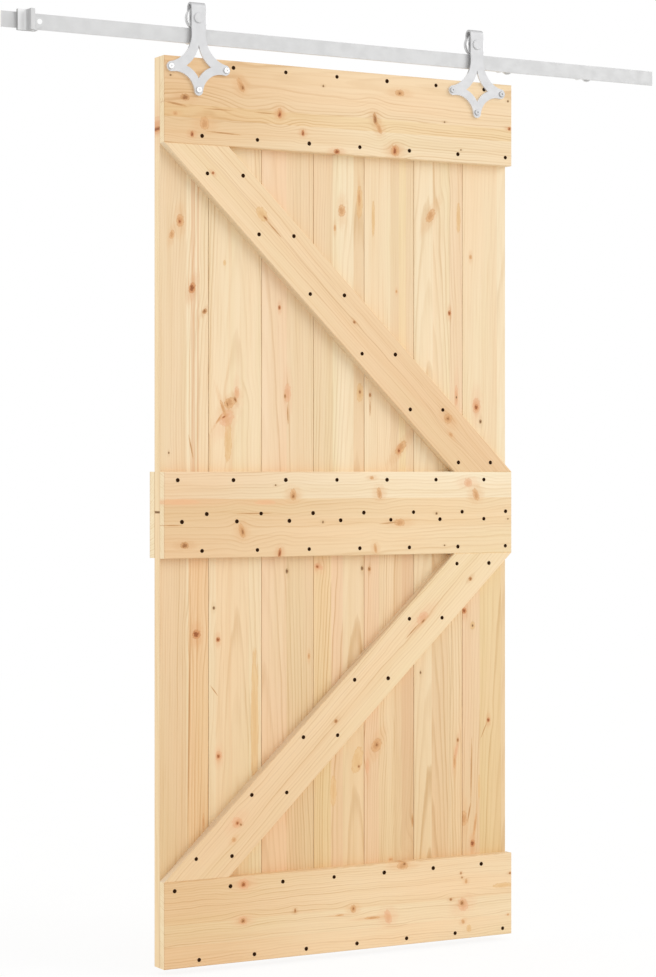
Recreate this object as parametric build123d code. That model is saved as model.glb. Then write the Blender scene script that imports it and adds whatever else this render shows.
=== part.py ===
from build123d import *
import math
import os

# Ledged and braced sliding door that hangs on a flat steel rail in front of a wall.
# All sizes are in millimetres.
# X runs to the right along the rail, Y runs into the wall and Z runs up.
# The origin is the middle of the second spacer's wall face, so the wall is the plane Y = 0
# and Z = 0 is the middle of the rail.

# Door leaf
DOOR_WIDTH = 950.0
DOOR_HEIGHT = 2100.0
DOOR_GAP_UNDER_RAIL = 32.0
LEDGE_WALL_CLEARANCE = 6.0

# Front boards and braces
BOARD_HEIGHT = 200.0
BOARD_THICKNESS = 24.0
BOARD_ARRIS = 1.5
MIDDLE_BOARD_RISE = 943.5
BRACE_CUT = 166.0

# Back ledge behind the middle board
LEDGE_HEIGHT = 200.0
LEDGE_THICKNESS = 26.0

# Tongue and groove planks in an upper and a lower tier
PLANK_COUNT = 7
PLANKS_SHORT_OF_RIGHT_EDGE = 4.0
PLANK_PITCH = 139.2
PLANK_THICKNESS = 28.0
TIER_JOINT_RISE = 1050.0
TIER_JOINT_GAP = 1.2
SEAM_GAP = 0.9
SEAM_BEVEL = 0.8
TONGUE_DEPTH = 7.0
TONGUE_THICKNESS = 8.0
TONGUE_CLEARANCE = 0.4

# Rail
RAIL_LENGTH = 1780.0
RAIL_HEIGHT = 36.0
RAIL_THICKNESS = 6.0
RAIL_LEFT_OF_DOOR = 397.5
RAIL_CORNER_RADIUS = 1.0
FIXINGS_FROM_LEFT_END = (91.0, 497.5)
FIXINGS_FROM_RIGHT_END = (420.0, 180.0)

# Spacers and the bolts through them
SPACER_RADIUS = 7.0
SPACER_COLLAR_RADIUS = 17.0
SPACER_COLLAR_THICKNESS = 5.0
SPACER_COLLAR_FROM_RAIL = 28.0
SPACER_EDGE_BREAK = 0.8
RAIL_BOLT_RADIUS = 4.0
RAIL_BOLT_HEAD_RADIUS = 6.2
RAIL_BOLT_HEAD_DEPTH = 2.4
FIT_CLEARANCE = 0.05

# End stop at the left end of the rail
STOP_HEIGHT = 47.0
STOP_PAD_WIDTH = 22.0
STOP_PAD_THICKNESS = 9.0
STOP_LUG_WIDTH = 11.0
STOP_LUG_REACH = 22.0
STOP_LUG_TO_BOLT = 22.0
STOP_INNER_ROUND = 8.0
STOP_EDGE_ROUND = 1.5
STOP_EAR_THICKNESS = 3.0
STOP_EAR_RADIUS = 10.5
STOP_EAR_TOP = 11.0
STOP_EAR_ROOT = 6.0
BUFFER_DEPTH = 14.0
BUFFER_HEIGHT = 30.0
BUFFER_CORNER = 5.0
BUFFER_REACH = 6.0
BUFFER_ROUND = 2.0
BUFFER_TO_EAR = 2.0

# Wheels
WHEEL_GROOVE_RADIUS = 23.0
WHEEL_FLANGE_RADIUS = 27.0
WHEEL_WIDTH = 13.0
WHEEL_GROOVE_PLAY = 0.8
WHEEL_GROOVE_FLARE = 1.0
WHEEL_RIM_BREAK = 0.6
WHEEL_HUB_RADIUS = 10.0
WHEEL_WEB_RECESS = 2.5
WHEEL_WEB_RADIUS = 19.0
ROLLING_CLEARANCE = 0.3

# Hangers: a star plate on the header board with a strap bent over the wheel
HANGER_FROM_LEFT_EDGE = 86.0
HANGER_FROM_RIGHT_EDGE = 104.0
STRAP_WIDTH = 36.0
STRAP_THICKNESS = 5.0
STRAP_GAP = 16.0
WHEEL_TOP_CLEARANCE = 2.0
STAR_HALF_WIDTH = 80.5
STAR_TIP_RADIUS = 12.0
STAR_TIPS_BELOW_DOOR_TOP = 25.0
STAR_FOOT_RADIUS = 10.5
STAR_FOOT_BELOW_TIPS = 63.0
STAR_NECK_ABOVE_TIPS = 75.0
STAR_SHOULDER = (33.0, 35.0)
STAR_FLANK = (27.0, -22.0)
WINDOW_HALF_WIDTH = 32.0
WINDOW_APEX = 54.0
WINDOW_CORNER = 4.0
WINDOW_FOOT = -24.0
WINDOW_UPPER_SAG = 6.0
WINDOW_LOWER_SAG = 4.0
STAR_SCREW_OFFSET = 71.0
STAR_FOOT_SCREW_DROP = 50.0

# Fixings of the hangers
SCREW_RADIUS = 4.0
SCREW_LENGTH = 20.0
SCREW_HEAD_RADIUS = 7.0
SCREW_HEAD_HEIGHT = 3.0
SCREW_HEAD_ROUND = 1.5
SCREW_SOCKET_RADIUS = 2.4
SCREW_SOCKET_DEPTH = 1.6
AXLE_RADIUS = 5.0
AXLE_HEAD_RADIUS = 12.0
AXLE_HEAD_HEIGHT = 2.5
AXLE_HEAD_ROUND = 1.2
AXLE_NUT_ACROSS = 17.0
AXLE_NUT_THICKNESS = 8.0
AXLE_END_PROUD = 2.0

# Two places nearer than this are taken as one
SAME_PLACE = 1e-6

# Places that follow from the sizes above
RAIL_LEFT_X = -FIXINGS_FROM_LEFT_END[-1]
RAIL_RIGHT_X = RAIL_LEFT_X + RAIL_LENGTH
RAIL_TOP_Z = RAIL_HEIGHT / 2
DOOR_LEFT_X = RAIL_LEFT_X + RAIL_LEFT_OF_DOOR
DOOR_RIGHT_X = DOOR_LEFT_X + DOOR_WIDTH
DOOR_TOP_Z = -RAIL_HEIGHT / 2 - DOOR_GAP_UNDER_RAIL
DOOR_BOTTOM_Z = DOOR_TOP_Z - DOOR_HEIGHT
PLANK_FIELD_WIDTH = DOOR_WIDTH - PLANKS_SHORT_OF_RIGHT_EDGE
LEDGE_BACK_Y = -LEDGE_WALL_CLEARANCE
PLANK_BACK_Y = LEDGE_BACK_Y - LEDGE_THICKNESS
PLANK_FRONT_Y = PLANK_BACK_Y - PLANK_THICKNESS
DOOR_FRONT_Y = PLANK_FRONT_Y - BOARD_THICKNESS
MIDDLE_BOARD_Z = DOOR_BOTTOM_Z + MIDDLE_BOARD_RISE
TIER_JOINT_Z = DOOR_BOTTOM_Z + TIER_JOINT_RISE
WHEEL_Y = DOOR_FRONT_Y + STRAP_GAP / 2
RAIL_FRONT_Y = WHEEL_Y - RAIL_THICKNESS / 2
RAIL_BACK_Y = WHEEL_Y + RAIL_THICKNESS / 2
AXLE_Z = RAIL_TOP_Z + WHEEL_GROOVE_RADIUS + ROLLING_CLEARANCE
STAR_Z = DOOR_TOP_Z - STAR_TIPS_BELOW_DOOR_TOP
HANGER_X = (DOOR_LEFT_X + HANGER_FROM_LEFT_EDGE, DOOR_RIGHT_X - HANGER_FROM_RIGHT_EDGE)
FIXING_X = (
    *(RAIL_LEFT_X + place for place in FIXINGS_FROM_LEFT_END),
    *(RAIL_RIGHT_X - place for place in FIXINGS_FROM_RIGHT_END),
)


def block(x_range, y_range, z_range):
    """A box between three pairs of limits."""
    sizes = [high - low for low, high in (x_range, y_range, z_range)]
    middle = [(high + low) / 2 for low, high in (x_range, y_range, z_range)]
    return Pos(*middle) * Box(*sizes)


def front_plane(x, y, z):
    """A sketch plane that faces the viewer, with its own X to the right and its Y up."""
    return Plane(origin=(x, y, z), x_dir=(1, 0, 0), z_dir=(0, -1, 0))


def depth_cylinder(radius, x, z, y_front, y_back):
    """A round bar along Y."""
    return extrude(front_plane(x, y_back, z) * Circle(radius), y_back - y_front)


def break_front_edges(solid, y_front, size):
    """Chamfer the straight edges that lie in one front plane."""
    edges = [edge for edge in solid.edges() if abs(edge.bounding_box().max.Y - y_front) < SAME_PLACE]
    return chamfer(edges, size)


def front_board(z_bottom):
    """A horizontal board across the whole width of the leaf."""
    z_range = (z_bottom, z_bottom + BOARD_HEIGHT)
    board = block((DOOR_LEFT_X, DOOR_RIGHT_X), (DOOR_FRONT_Y, PLANK_FRONT_Y), z_range)
    return break_front_edges(board, DOOR_FRONT_Y, BOARD_ARRIS)


def header_board():
    """The top board, drilled for the screws of both hangers."""
    board = front_board(DOOR_TOP_Z - BOARD_HEIGHT)
    hole_end_y = DOOR_FRONT_Y + SCREW_LENGTH
    for x, z in hanger_screw_places(HANGER_X[0]) + hanger_screw_places(HANGER_X[1]):
        board -= depth_cylinder(SCREW_RADIUS + FIT_CLEARANCE, x, z, DOOR_FRONT_Y, hole_end_y)
    return board


def brace(x_bottom, z_bottom, x_top, z_top):
    """A slanted board with level ends, given by the left corners of both ends."""
    corners = [
        (x_bottom, z_bottom),
        (x_bottom + BRACE_CUT, z_bottom),
        (x_top + BRACE_CUT, z_top),
        (x_top, z_top),
    ]
    outline = front_plane(0, PLANK_FRONT_Y, 0) * Polygon(*corners, align=None)
    return break_front_edges(extrude(outline, BOARD_THICKNESS), DOOR_FRONT_Y, BOARD_ARRIS)


def upper_brace():
    """From the header board's left end down to the middle board's right end."""
    return brace(
        DOOR_RIGHT_X - BRACE_CUT, MIDDLE_BOARD_Z + BOARD_HEIGHT, DOOR_LEFT_X, DOOR_TOP_Z - BOARD_HEIGHT
    )


def lower_brace():
    """From the footer board's left end up to the middle board's right end."""
    return brace(DOOR_LEFT_X, DOOR_BOTTOM_Z + BOARD_HEIGHT, DOOR_RIGHT_X - BRACE_CUT, MIDDLE_BOARD_Z)


def back_ledge():
    """The board across the back, over the joint between both tiers of planks."""
    z_middle = MIDDLE_BOARD_Z + BOARD_HEIGHT / 2
    return block(
        (DOOR_LEFT_X, DOOR_RIGHT_X),
        (PLANK_BACK_Y, LEDGE_BACK_Y),
        (z_middle - LEDGE_HEIGHT / 2, z_middle + LEDGE_HEIGHT / 2),
    )


def plank_edges():
    """The X places where one plank ends and the next begins, with both ends of the field."""
    outer_width = (PLANK_FIELD_WIDTH - (PLANK_COUNT - 2) * PLANK_PITCH) / 2
    seams = [DOOR_LEFT_X + outer_width + index * PLANK_PITCH for index in range(PLANK_COUNT - 1)]
    return [DOOR_LEFT_X, *seams, DOOR_LEFT_X + PLANK_FIELD_WIDTH]


def plank(index, z_bottom, z_top):
    """One plank, with a groove at its left edge and a tongue at its right edge."""
    edges = plank_edges()
    has_groove = index > 0
    has_tongue = index < PLANK_COUNT - 1
    left = edges[index] + (SEAM_GAP / 2 if has_groove else 0)
    right = edges[index + 1] - (SEAM_GAP / 2 if has_tongue else 0)
    middle_y = (PLANK_FRONT_Y + PLANK_BACK_Y) / 2
    profile = Pos((left + right) / 2, middle_y) * Rectangle(right - left, PLANK_THICKNESS)
    seam_corners = [
        corner
        for corner in profile.vertices()
        if (has_groove and corner.X < left + SAME_PLACE) or (has_tongue and corner.X > right - SAME_PLACE)
    ]
    profile = chamfer(seam_corners, SEAM_BEVEL)
    if has_groove:
        depth = TONGUE_DEPTH - SEAM_GAP + TONGUE_CLEARANCE
        width = TONGUE_THICKNESS + 2 * TONGUE_CLEARANCE
        profile -= Pos(left + depth / 2, middle_y) * Rectangle(depth, width)
    if has_tongue:
        profile += Pos(right + TONGUE_DEPTH / 2, middle_y) * Rectangle(TONGUE_DEPTH, TONGUE_THICKNESS)
    return extrude(Pos(0, 0, z_bottom) * profile, z_top - z_bottom)


def rail_bolt_hole(x, y_front):
    """The countersunk hole for a rail bolt, from a front face to the wall."""
    return rail_bolt(x, y_front, FIT_CLEARANCE)


def rail_bolt(x, y_front, grow=0.0):
    """A countersunk bolt with its head flush in a front face and its end at the wall."""
    shank = RAIL_BOLT_RADIUS + grow
    head = RAIL_BOLT_HEAD_RADIUS + grow
    head_end_y = y_front + RAIL_BOLT_HEAD_DEPTH
    profile = Polygon((0, y_front), (head, y_front), (shank, head_end_y), (shank, 0), (0, 0), align=None)
    return Pos(x, 0, 0) * revolve(profile, Axis.Y)


def bolt_seat_y(index):
    """The front face that a rail bolt's head sits in: the stop's ear or the rail."""
    return RAIL_FRONT_Y - STOP_EAR_THICKNESS if index == 0 else RAIL_FRONT_Y


def rail_bolts():
    """The four bolts that hold the rail to the wall."""
    return Compound(children=[rail_bolt(x, bolt_seat_y(index)) for index, x in enumerate(FIXING_X)])


def rail():
    """The flat bar that the wheels run on, with rounded long edges."""
    profile = Plane.YZ * RectangleRounded(RAIL_THICKNESS, RAIL_HEIGHT, RAIL_CORNER_RADIUS)
    bar = Pos(RAIL_LEFT_X, WHEEL_Y, 0) * extrude(profile, RAIL_LENGTH)
    for index, x in enumerate(FIXING_X):
        bar -= rail_bolt_hole(x, bolt_seat_y(index))
    return bar


def rail_spacer(x):
    """A turned sleeve with a collar, between the rail and the wall."""
    inner = RAIL_BOLT_RADIUS + FIT_CLEARANCE
    collar_front = RAIL_BACK_Y + SPACER_COLLAR_FROM_RAIL
    collar_back = collar_front + SPACER_COLLAR_THICKNESS
    edge = SPACER_EDGE_BREAK
    profile = Polygon(
        (inner, RAIL_BACK_Y),
        (SPACER_RADIUS, RAIL_BACK_Y),
        (SPACER_RADIUS, collar_front),
        (SPACER_COLLAR_RADIUS - edge, collar_front),
        (SPACER_COLLAR_RADIUS, collar_front + edge),
        (SPACER_COLLAR_RADIUS, collar_back - edge),
        (SPACER_COLLAR_RADIUS - edge, collar_back),
        (SPACER_RADIUS, collar_back),
        (SPACER_RADIUS, 0),
        (inner, 0),
        align=None,
    )
    return Pos(x, 0, 0) * revolve(profile, Axis.Y)


def stop_lug_x():
    """The left and right faces of the end stop's lug."""
    right = FIXING_X[0] - STOP_LUG_TO_BOLT
    return right - STOP_LUG_WIDTH, right


def stop_body():
    """The pad on the rail's front and the lug that stands forward, as one profile seen from above."""
    lug_left, lug_right = stop_lug_x()
    pad_left = lug_left - STOP_PAD_WIDTH
    pad_front = RAIL_FRONT_Y - STOP_PAD_THICKNESS
    lug_front = pad_front - STOP_LUG_REACH
    inner_corner = (lug_left, pad_front)
    outer_corners = [(pad_left, pad_front), (lug_left, lug_front), (lug_right, lug_front)]
    outline = Polygon(
        (pad_left, RAIL_FRONT_Y),
        outer_corners[0],
        inner_corner,
        outer_corners[1],
        outer_corners[2],
        (lug_right, RAIL_FRONT_Y),
        align=None,
    )
    outline = fillet(corners_at(outline, [inner_corner]), STOP_INNER_ROUND)
    outline = fillet(corners_at(outline, outer_corners), STOP_EDGE_ROUND)
    return extrude(outline, STOP_HEIGHT / 2, both=True)


def corners_at(outline, places):
    """The outline's corners that lie at the given places."""
    return [
        corner
        for corner in outline.vertices()
        if any(math.dist((corner.X, corner.Y), place) < SAME_PLACE for place in places)
    ]


def stop_ear():
    """The thin ear for the first bolt, tapered from the lug to a round end."""
    lug_left, lug_right = stop_lug_x()
    root_right = lug_right + STOP_EAR_ROOT
    root_bottom = -STOP_HEIGHT / 2
    root = Polygon(
        (lug_left, root_bottom),
        (root_right, root_bottom),
        (root_right, STOP_EAR_TOP),
        (lug_left, STOP_EAR_TOP),
        align=None,
    )
    tip = Pos(FIXING_X[0], 0) * Circle(STOP_EAR_RADIUS)
    outline = make_hull(root.edges() + tip.edges())
    return extrude(front_plane(0, RAIL_FRONT_Y, 0) * outline, STOP_EAR_THICKNESS)


def end_stop():
    """The bent block on the rail's left end with its ear, drilled for the first bolt."""
    return stop_body() + stop_ear() - rail_bolt_hole(FIXING_X[0], bolt_seat_y(0))


def end_stop_buffer():
    """The rubber pad on the lug's right face, where the left hanger would land."""
    back_y = RAIL_FRONT_Y - STOP_EAR_THICKNESS - BUFFER_TO_EAR
    origin = (stop_lug_x()[1], back_y - BUFFER_DEPTH / 2, 0)
    seat = Plane(origin=origin, x_dir=(0, 1, 0), z_dir=(1, 0, 0))
    buffer = extrude(seat * RectangleRounded(BUFFER_DEPTH, BUFFER_HEIGHT, BUFFER_CORNER), BUFFER_REACH)
    return fillet(buffer.faces().sort_by(Axis.X)[-1].edges(), BUFFER_ROUND)


def hanger_screw_places(x):
    """The X and Z places of one hanger's three screws."""
    return [
        (x - STAR_SCREW_OFFSET, STAR_Z),
        (x + STAR_SCREW_OFFSET, STAR_Z),
        (x, STAR_Z - STAR_FOOT_SCREW_DROP),
    ]


def star_outline():
    """The star plate's outline about its side tips' level, as three rounded tips and concave flanks."""
    half_strap = STRAP_WIDTH / 2
    tip_x = STAR_HALF_WIDTH - STAR_TIP_RADIUS
    foot_z = -STAR_FOOT_BELOW_TIPS + STAR_FOOT_RADIUS
    right_edges = [
        ThreePointArc((half_strap, STAR_NECK_ABOVE_TIPS), STAR_SHOULDER, (tip_x, STAR_TIP_RADIUS)),
        ThreePointArc((tip_x, STAR_TIP_RADIUS), (STAR_HALF_WIDTH, 0), (tip_x, -STAR_TIP_RADIUS)),
        ThreePointArc((tip_x, -STAR_TIP_RADIUS), STAR_FLANK, (STAR_FOOT_RADIUS, foot_z)),
    ]
    foot_end = (0, -STAR_FOOT_BELOW_TIPS)
    foot = ThreePointArc((STAR_FOOT_RADIUS, foot_z), foot_end, (-STAR_FOOT_RADIUS, foot_z))
    left_edges = [edge.mirror(Plane.YZ) for edge in right_edges]
    neck = Line((-half_strap, STAR_NECK_ABOVE_TIPS), (half_strap, STAR_NECK_ABOVE_TIPS))
    return make_face([*right_edges, foot, *left_edges, neck])


def sagging_side(start, end, sag):
    """An arc between two points that bends sideways from its chord by a given sag."""
    chord = Vector(end[0] - start[0], end[1] - start[1])
    middle = Vector((start[0] + end[0]) / 2, (start[1] + end[1]) / 2)
    offset = Vector(-chord.Y, chord.X) * (sag / chord.length)
    return ThreePointArc(start, middle + offset, end)


def star_window():
    """The star plate's opening, a diamond with four sides that curve inwards."""
    apex = (0, WINDOW_APEX)
    right = (WINDOW_HALF_WIDTH, WINDOW_CORNER)
    foot = (0, WINDOW_FOOT)
    left = (-WINDOW_HALF_WIDTH, WINDOW_CORNER)
    return make_face([
        sagging_side(apex, right, -WINDOW_UPPER_SAG),
        sagging_side(right, foot, -WINDOW_LOWER_SAG),
        sagging_side(foot, left, -WINDOW_LOWER_SAG),
        sagging_side(left, apex, -WINDOW_UPPER_SAG),
    ])


def hanger_bend_z():
    """The height of the bend's centre, so that the bend clears the wheel's flanges."""
    half_gap = STRAP_GAP / 2
    rise = math.sqrt(half_gap**2 - (WHEEL_WIDTH / 2) ** 2)
    return AXLE_Z + WHEEL_FLANGE_RADIUS + WHEEL_TOP_CLEARANCE - rise


def hanger_strap():
    """The strap from the star's neck over the wheel and down behind it, about X = 0."""
    neck_z = STAR_Z + STAR_NECK_ABOVE_TIPS
    bend_z = hanger_bend_z()
    inner_back = DOOR_FRONT_Y + STRAP_GAP
    bend_top = (DOOR_FRONT_Y + STRAP_GAP / 2, bend_z + STRAP_GAP / 2)
    centre_line = [
        Line((DOOR_FRONT_Y, neck_z), (DOOR_FRONT_Y, bend_z)),
        ThreePointArc((DOOR_FRONT_Y, bend_z), bend_top, (inner_back, bend_z)),
        Line((inner_back, bend_z), (inner_back, AXLE_Z - STRAP_WIDTH / 2)),
    ]
    outer_top = (bend_top[0], bend_top[1] + STRAP_THICKNESS)
    outer_front = DOOR_FRONT_Y - STRAP_THICKNESS
    outer_back = inner_back + STRAP_THICKNESS
    outer_line = [
        Line((outer_back, AXLE_Z - STRAP_WIDTH / 2), (outer_back, bend_z)),
        ThreePointArc((outer_back, bend_z), outer_top, (outer_front, bend_z)),
        Line((outer_front, bend_z), (outer_front, neck_z)),
    ]
    ends = [
        Line((inner_back, AXLE_Z - STRAP_WIDTH / 2), (outer_back, AXLE_Z - STRAP_WIDTH / 2)),
        Line((outer_front, neck_z), (DOOR_FRONT_Y, neck_z)),
    ]
    side = Plane.YZ * make_face([*centre_line, *outer_line, *ends])
    strap = extrude(side, STRAP_WIDTH / 2, both=True)
    return round_back_end(strap)


def round_back_end(strap):
    """Round the strap's back end about the axle."""
    back_end = strap.edges().filter_by(Axis.Y).sort_by(Axis.Z)
    corners = [edge for edge in back_end if edge.center().Y > DOOR_FRONT_Y + STRAP_GAP / 2][:2]
    return fillet(corners, STRAP_WIDTH / 2 - STRAP_THICKNESS / 2)


def hanger(x):
    """Star plate and bent strap in one piece, drilled for its screws and its axle bolt."""
    outline = star_outline() - star_window()
    plate = extrude(front_plane(0, DOOR_FRONT_Y, STAR_Z) * outline, STRAP_THICKNESS)
    piece = Pos(x, 0, 0) * (plate + hanger_strap())
    y_front = DOOR_FRONT_Y - STRAP_THICKNESS
    y_back = DOOR_FRONT_Y + STRAP_GAP + STRAP_THICKNESS
    for screw_x, screw_z in hanger_screw_places(x):
        piece -= depth_cylinder(SCREW_RADIUS + FIT_CLEARANCE, screw_x, screw_z, y_front, DOOR_FRONT_Y)
    return piece - depth_cylinder(AXLE_RADIUS + FIT_CLEARANCE, x, AXLE_Z, y_front, y_back)


def hanger_screw(x, z):
    """A round headed screw with a hexagon socket."""
    seat_y = DOOR_FRONT_Y - STRAP_THICKNESS
    head_y = seat_y - SCREW_HEAD_HEIGHT
    head = depth_cylinder(SCREW_HEAD_RADIUS, x, z, head_y, seat_y)
    head = fillet(head.edges().sort_by(Axis.Y)[0], SCREW_HEAD_ROUND)
    shank = depth_cylinder(SCREW_RADIUS, x, z, seat_y, DOOR_FRONT_Y + SCREW_LENGTH)
    socket_outline = RegularPolygon(SCREW_SOCKET_RADIUS, 6)
    socket = extrude(front_plane(x, head_y + SCREW_SOCKET_DEPTH, z) * socket_outline, SCREW_SOCKET_DEPTH)
    return head + shank - socket


def hanger_screws(x):
    """The three screws of one hanger."""
    return Compound(children=[hanger_screw(*place) for place in hanger_screw_places(x)])


def axle_bolt(x):
    """The bolt that the wheel turns on, with a low round head on the strap."""
    head_seat = DOOR_FRONT_Y - STRAP_THICKNESS
    nut_seat = DOOR_FRONT_Y + STRAP_GAP + STRAP_THICKNESS
    end_y = nut_seat + AXLE_NUT_THICKNESS + AXLE_END_PROUD
    head = depth_cylinder(AXLE_HEAD_RADIUS, x, AXLE_Z, head_seat - AXLE_HEAD_HEIGHT, head_seat)
    head = fillet(head.edges().sort_by(Axis.Y)[0], AXLE_HEAD_ROUND)
    return head + depth_cylinder(AXLE_RADIUS, x, AXLE_Z, head_seat, end_y)


def axle_nut(x):
    """The hexagon nut on the strap's back leg."""
    seat_y = DOOR_FRONT_Y + STRAP_GAP + STRAP_THICKNESS
    outline = RegularPolygon(AXLE_NUT_ACROSS / 2, 6, major_radius=False)
    outline -= Circle(AXLE_RADIUS + FIT_CLEARANCE)
    return extrude(front_plane(x, seat_y + AXLE_NUT_THICKNESS, AXLE_Z) * outline, AXLE_NUT_THICKNESS)


def wheel(x):
    """A grooved wheel that runs on the rail's top edge."""
    bore = AXLE_RADIUS + FIT_CLEARANCE
    half = WHEEL_WIDTH / 2
    floor = RAIL_THICKNESS / 2 + WHEEL_GROOVE_PLAY
    mouth = floor + WHEEL_GROOVE_FLARE
    web = half - WHEEL_WEB_RECESS
    front_half = [
        (bore, -half),
        (WHEEL_HUB_RADIUS, -half),
        (WHEEL_HUB_RADIUS, -web),
        (WHEEL_WEB_RADIUS, -web),
        (WHEEL_WEB_RADIUS, -half),
        (WHEEL_FLANGE_RADIUS - WHEEL_RIM_BREAK, -half),
        (WHEEL_FLANGE_RADIUS, -half + WHEEL_RIM_BREAK),
        (WHEEL_FLANGE_RADIUS, -mouth),
        (WHEEL_GROOVE_RADIUS, -floor),
    ]
    back_half = [(radius, -depth) for radius, depth in reversed(front_half)]
    profile = Polygon(*front_half, *back_half, align=None)
    return Pos(x, WHEEL_Y, AXLE_Z) * revolve(profile, Axis.Y)


def all_parts():
    """Every named piece of the door."""
    parts = {
        "header_board": header_board(),
        "middle_board": front_board(MIDDLE_BOARD_Z),
        "footer_board": front_board(DOOR_BOTTOM_Z),
        "upper_brace": upper_brace(),
        "lower_brace": lower_brace(),
        "back_ledge": back_ledge(),
        "rail": rail(),
        "rail_bolts": rail_bolts(),
        "end_stop": end_stop(),
        "end_stop_buffer": end_stop_buffer(),
    }
    half_joint = TIER_JOINT_GAP / 2
    for index in range(PLANK_COUNT):
        parts[f"upper_plank_{index + 1}"] = plank(index, TIER_JOINT_Z + half_joint, DOOR_TOP_Z)
        parts[f"lower_plank_{index + 1}"] = plank(index, DOOR_BOTTOM_Z, TIER_JOINT_Z - half_joint)
    for index, x in enumerate(FIXING_X):
        parts[f"rail_spacer_{index + 1}"] = rail_spacer(x)
    for side, x in zip(("left", "right"), HANGER_X):
        parts[f"{side}_hanger"] = hanger(x)
        parts[f"{side}_hanger_screws"] = hanger_screws(x)
        parts[f"{side}_axle_bolt"] = axle_bolt(x)
        parts[f"{side}_axle_nut"] = axle_nut(x)
        parts[f"{side}_wheel"] = wheel(x)
    return parts


os.makedirs("parts", exist_ok=True)
for name, shape in all_parts().items():
    export_step(shape, f"parts/{name}.step")
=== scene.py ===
"""Looks of the sliding plank door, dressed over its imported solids."""

import logging
import math
from dataclasses import dataclass
from enum import Enum
from typing import Any, Mapping, Sequence

import bpy
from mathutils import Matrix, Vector


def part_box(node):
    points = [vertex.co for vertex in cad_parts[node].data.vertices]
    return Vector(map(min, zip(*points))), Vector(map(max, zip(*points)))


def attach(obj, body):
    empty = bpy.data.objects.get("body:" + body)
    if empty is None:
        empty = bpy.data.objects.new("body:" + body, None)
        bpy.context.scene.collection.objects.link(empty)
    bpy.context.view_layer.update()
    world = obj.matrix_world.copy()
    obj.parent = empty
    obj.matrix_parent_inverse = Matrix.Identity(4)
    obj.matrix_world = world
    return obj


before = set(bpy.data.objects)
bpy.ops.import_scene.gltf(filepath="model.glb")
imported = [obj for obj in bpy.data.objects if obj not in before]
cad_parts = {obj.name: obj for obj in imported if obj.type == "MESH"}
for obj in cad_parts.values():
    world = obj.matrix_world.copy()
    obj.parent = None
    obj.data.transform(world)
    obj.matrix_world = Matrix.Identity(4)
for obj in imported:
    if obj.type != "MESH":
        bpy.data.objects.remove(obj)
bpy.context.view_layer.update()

LOG = logging.getLogger("door")
MM = 0.001
Colour = tuple[float, float, float, float]
Stop = tuple[float, Colour]
Socket = bpy.types.NodeSocket


def tone(red: float, green: float, blue: float) -> Colour:
    """A colour as a display shows it, in the linear form that shaders take.

    Args:
        red: Red part, from 0 to 255.
        green: Green part.
        blue: Blue part.

    Returns:
        Linear red, green and blue, and an alpha of 1.
    """

    def linear(part: float) -> float:
        """One part in linear form."""
        share = part / 255
        return share / 12.92 if share <= 0.04045 else ((share + 0.055) / 1.055) ** 2.4

    return linear(red), linear(green), linear(blue), 1.0


# Node building


@dataclass(frozen=True)
class Field:
    """A number that varies over a surface; Python's operators add Math nodes."""

    graph: "ShaderGraph"
    socket: Socket

    def math(self, operation: str, *others: "Field | float") -> "Field":
        """This number and others through one Math node."""
        return self.graph.math(operation, self, *others)

    def __add__(self, other: "Field | float") -> "Field":
        """Sum."""
        return self.math("ADD", other)

    def __sub__(self, other: "Field | float") -> "Field":
        """Difference."""
        return self.math("SUBTRACT", other)

    def __mul__(self, other: "Field | float") -> "Field":
        """Product."""
        return self.math("MULTIPLY", other)

    def __truediv__(self, other: "Field | float") -> "Field":
        """Quotient."""
        return self.math("DIVIDE", other)

    def __abs__(self) -> "Field":
        """Size without its sign."""
        return self.math("ABSOLUTE")


class NodeGraph:
    """Any node tree, filled with nodes whose settings and inputs are given in one call."""

    def __init__(self, tree: bpy.types.NodeTree) -> None:
        """Start from a tree.

        Args:
            tree: The tree that the nodes go into.
        """
        self.tree = tree

    def node(
        self,
        kind: str,
        settings: Mapping[str, Any] | None = None,
        inputs: Mapping[str | int, Any] | None = None,
    ) -> bpy.types.Node:
        """Add any node.

        Args:
            kind: The node's type.
            settings: Its settings, set first; "stops" and "interpolation" are a ramp's.
            inputs: Values or links of its sockets, by name or number.

        Returns:
            The new node.
        """
        made = self.tree.nodes.new(kind)
        for key, value in (settings or {}).items():
            if key == "stops":
                self._set_stops(made.color_ramp, value)
            elif key == "interpolation":
                made.color_ramp.interpolation = value
            else:
                setattr(made, key, value)
        for key, value in (inputs or {}).items():
            self._feed(made.inputs[key], value)
        return made

    @staticmethod
    def _set_stops(ramp: bpy.types.ColorRamp, stops: Sequence[Stop]) -> None:
        """Give a ramp its stops.

        Args:
            ramp: The ramp.
            stops: Place and colour of each stop, from left to right.
        """
        while len(ramp.elements) < len(stops):
            ramp.elements.new(1.0)
        for element, (place, colour) in zip(ramp.elements, stops):
            element.position = place
            element.color = colour

    def _feed(self, socket: Socket, value: Any) -> None:
        """Link or set one input.

        Args:
            socket: The input.
            value: A field, an output socket or a plain value.
        """
        if isinstance(value, Field):
            value = value.socket
        if isinstance(value, Socket):
            self.tree.links.new(value, socket)
        else:
            socket.default_value = value


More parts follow.
